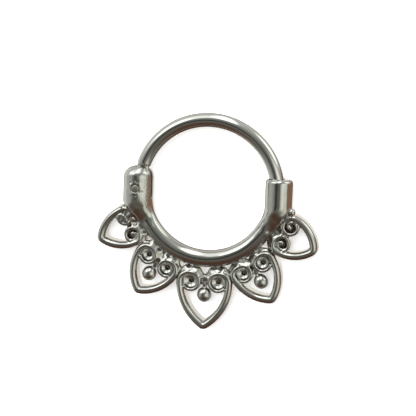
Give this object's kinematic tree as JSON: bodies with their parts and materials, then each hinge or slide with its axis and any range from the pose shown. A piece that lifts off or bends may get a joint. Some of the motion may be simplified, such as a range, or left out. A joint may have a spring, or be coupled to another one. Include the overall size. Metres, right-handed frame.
{
  "type": "hinged clicker ring",
  "caption": "Hinged clicker ring for a piercing: a round wire hoop that swings on a pin and closes into a cast arc edged with openwork hearts, scrolls and small balls.",
  "frame": {"origin": "the middle of the footprint, on the flat back that the ring lies on; the middle of the ring's opening is 2.665 mm from it towards +Y", "axes": "+Z out of the flat back to the front, +Y towards the top of the hoop, +X towards the catch; the hinge is on the -X side"},
  "size_m": [0.019, 0.0188, 0.0023],
  "materials": {
    "cast_metal": "polished silver-coloured casting, slightly uneven, darkened in the recesses",
    "polished_wire": "polished round wire with fine polishing lines",
    "pin_steel": "riveted pin end, ground nearly flush and dulled"
  },
  "bodies": {
    "casting": {"heart_casting": "cast_metal", "hinge_pin": "pin_steel"},
    "hoop": {"hinged_hoop": "polished_wire"}
  },
  "joints": [
    {"name": "hoop_hinge", "type": "hinge", "parent": "casting", "child": "hoop", "pos_m": [-0.00612, 0.00266, 0.001], "axis": [0, 0, 1], "range_deg": [0, 100]}
  ]
}
